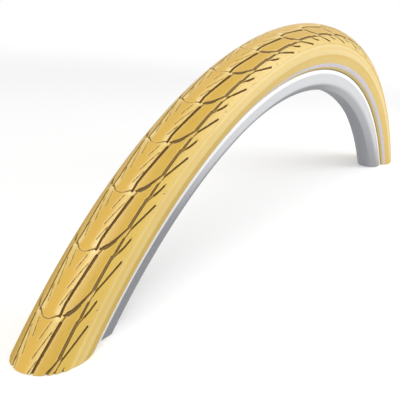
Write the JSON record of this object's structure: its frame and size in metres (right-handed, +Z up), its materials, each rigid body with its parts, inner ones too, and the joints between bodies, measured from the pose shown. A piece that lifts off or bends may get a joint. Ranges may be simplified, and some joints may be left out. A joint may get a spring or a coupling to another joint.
{
  "type": "bicycle tyre section",
  "caption": "Cut section of a tan bicycle tyre on a length of silver double-wall rim, standing as an arch on its two ends.",
  "frame": {"origin": "on the floor under the middle of the arch: centre of the bounding box's lower face", "axes": "+Z up through the crown, +X along the arch, Y along the wheel's axle; the right side is at -Y"},
  "size_m": [0.5668, 0.0324, 0.146],
  "materials": {
    "tread_rubber": "matte",
    "sidewall_rubber": "satin",
    "reflective_film": "satin",
    "belt_rubber": "matte",
    "casing_cloth": "matte",
    "bead_steel": "satin",
    "jacket_rubber": "matte",
    "filler_rubber": "matte",
    "chafer_cloth": "matte",
    "tube_rubber": "matte",
    "tape_plastic": "satin",
    "rim_aluminium": "satin"
  },
  "bodies": {
    "root": {"tread": "tread_rubber", "puncture_belt": "belt_rubber", "casing": "casing_cloth", "right_sidewall": "sidewall_rubber", "left_sidewall": "sidewall_rubber", "right_reflective_stripe": "reflective_film", "left_reflective_stripe": "reflective_film", "right_bead_wire": "bead_steel", "left_bead_wire": "bead_steel", "right_bead_jacket": "jacket_rubber", "left_bead_jacket": "jacket_rubber", "right_bead_filler": "filler_rubber", "left_bead_filler": "filler_rubber", "right_chafer": "chafer_cloth", "left_chafer": "chafer_cloth", "inner_tube": "tube_rubber", "rim_tape": "tape_plastic", "rim": "rim_aluminium"}
  },
  "joints": []
}
